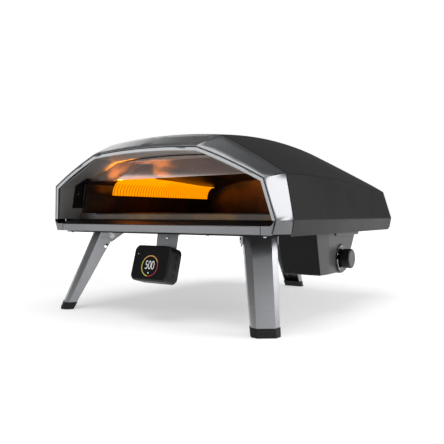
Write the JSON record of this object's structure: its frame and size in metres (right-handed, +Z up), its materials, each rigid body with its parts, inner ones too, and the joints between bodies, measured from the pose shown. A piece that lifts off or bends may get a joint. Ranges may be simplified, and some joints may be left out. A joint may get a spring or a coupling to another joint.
{
  "type": "pizza oven",
  "caption": "Portable gas-fired pizza oven: faceted black casing, grey front collar with a wide glazed mouth, folding splayed legs, gas control and thermometer hub.",
  "frame": {"origin": "on the ground under the middle of the overall box", "axes": "+X to the right as seen from the mouth, +Y from the mouth to the back, +Z up"},
  "size_m": [0.7, 0.7974, 0.4485],
  "materials": {
    "powder_coat_black": "fine-textured charcoal black powder coat",
    "satin_grey_metal": "satin pewter-grey metallic",
    "bright_trim": "fine-brushed bright aluminium",
    "leg_metal": "satin silver aluminium",
    "lining_steel": "dark heat-resistant coated steel",
    "chamber_steel": "aluminised steel, heat-toned",
    "cordierite": "fired cordierite, pale buff",
    "ceramic_fibre": "needled ceramic fibre blanket",
    "visor_glass": "clear borosilicate with a warm reflective coat",
    "zinc_steel": "bright zinc-plated steel",
    "rubber": "black moulded rubber",
    "black_abs": "black ABS, fine spark texture",
    "grey_nylon": "dark grey glass-filled nylon",
    "gloss_black": "polished black acrylic",
    "brass": "turned brass",
    "porcelain": "glazed porcelain",
    "circuit_board": "green solder mask"
  },
  "bodies": {
    "root": {"outer_shell": "powder_coat_black", "rear_panel": "powder_coat_black", "front_collar": "satin_grey_metal", "front_rim": "bright_trim", "mouth_lining": "lining_steel", "front_bulkhead": "powder_coat_black", "front_rail": "satin_grey_metal", "rail_corners": "satin_grey_metal", "porch_plate": "powder_coat_black", "base_pan": "powder_coat_black", "chamber_roof": "chamber_steel", "chamber_wall_left": "chamber_steel", "chamber_wall_right": "chamber_steel", "chamber_back": "chamber_steel", "chamber_floor": "chamber_steel", "insulation_roof": "ceramic_fibre", "insulation_blankets": "ceramic_fibre", "baking_stones": "cordierite", "stone_supports": "chamber_steel", "stone_stop": "chamber_steel", "burner_toe_plate": "chamber_steel", "burner_tube": "zinc_steel", "burner_stands": "zinc_steel", "flame_guard_left": "chamber_steel", "flame_guard_back": "chamber_steel", "gas_pipe": "zinc_steel", "ignition_electrode": "porcelain", "temperature_probe": "zinc_steel", "visor_glass": "visor_glass", "visor_brackets": "powder_coat_black", "visor_screws": "zinc_steel", "leg_brackets": "leg_metal", "leg_pivots": "zinc_steel", "control_housing": "powder_coat_black", "control_cover": "grey_nylon", "dial_plate": "gloss_black", "gas_valve": "brass", "gas_inlet": "brass", "igniter_module": "black_abs", "hub_front_shell": "black_abs", "hub_face_glass": "gloss_black", "hub_back_shell": "black_abs", "hub_circuit_board": "circuit_board", "hub_battery_door": "black_abs", "hub_bracket": "bright_trim", "casing_screws": "zinc_steel"},
    "front_left_leg": {"leg_front_left": "leg_metal", "leg_foot_front_left": "rubber"},
    "front_left_lock": {"leg_lock_front_left": "black_abs"},
    "front_right_leg": {"leg_front_right": "leg_metal", "leg_foot_front_right": "rubber"},
    "front_right_lock": {"leg_lock_front_right": "black_abs"},
    "rear_leg": {"leg_rear": "leg_metal", "leg_foot_rear": "rubber"},
    "rear_lock": {"leg_lock_rear": "black_abs"},
    "stem": {"valve_stem": "zinc_steel"},
    "knob": {"control_knob": "black_abs"},
    "hub_up": {"hub_button_up": "rubber"},
    "hub_down": {"hub_button_down": "rubber"},
    "hub_power": {"hub_button_power": "rubber"}
  },
  "joints": [
    {"name": "fold_front_left", "type": "hinge", "parent": "root", "child": "front_left_leg", "pos_m": [-0.23382, -0.2673, 0.191], "axis": [0.7934, -0.6088, 0], "range_deg": [0, 118]},
    {"name": "lock_front_left", "type": "slide", "parent": "front_left_leg", "child": "front_left_lock", "axis": [-0.2947, -0.3841, -0.875], "range_m": [0, 0.005], "stiffness_N_per_m": 300, "springref_m": -0.005},
    {"name": "fold_front_right", "type": "hinge", "parent": "root", "child": "front_right_leg", "pos_m": [0.23382, -0.2673, 0.191], "axis": [0.7934, 0.6088, 0], "range_deg": [0, 118]},
    {"name": "lock_front_right", "type": "slide", "parent": "front_right_leg", "child": "front_right_lock", "axis": [0.2947, -0.3841, -0.875], "range_m": [0, 0.005], "stiffness_N_per_m": 300, "springref_m": -0.005},
    {"name": "fold_rear", "type": "hinge", "parent": "root", "child": "rear_leg", "pos_m": [0, 0.26834, 0.191], "axis": [-1, 0, 0], "range_deg": [0, 118]},
    {"name": "lock_rear", "type": "slide", "parent": "rear_leg", "child": "rear_lock", "axis": [0, 0.4842, -0.875], "range_m": [0, 0.005], "stiffness_N_per_m": 300, "springref_m": -0.005},
    {"name": "knob_turn", "type": "hinge", "parent": "root", "child": "stem", "pos_m": [0.322, 0.00034, 0.1365], "axis": [1, 0, 0], "range_deg": [0, 180]},
    {"name": "knob_push", "type": "slide", "parent": "stem", "child": "knob", "axis": [-1, 0, 0], "range_m": [0, 0.003], "stiffness_N_per_m": 800, "springref_m": -0.002},
    {"name": "press_up", "type": "slide", "parent": "root", "child": "hub_up", "axis": [-1, 0, 0], "range_m": [0, 0.0008], "stiffness_N_per_m": 400, "springref_m": -0.0005},
    {"name": "press_down", "type": "slide", "parent": "root", "child": "hub_down", "axis": [-1, 0, 0], "range_m": [0, 0.0008], "stiffness_N_per_m": 400, "springref_m": -0.0005},
    {"name": "press_power", "type": "slide", "parent": "root", "child": "hub_power", "axis": [-1, 0, 0], "range_m": [0, 0.0008], "stiffness_N_per_m": 400, "springref_m": -0.0005}
  ]
}
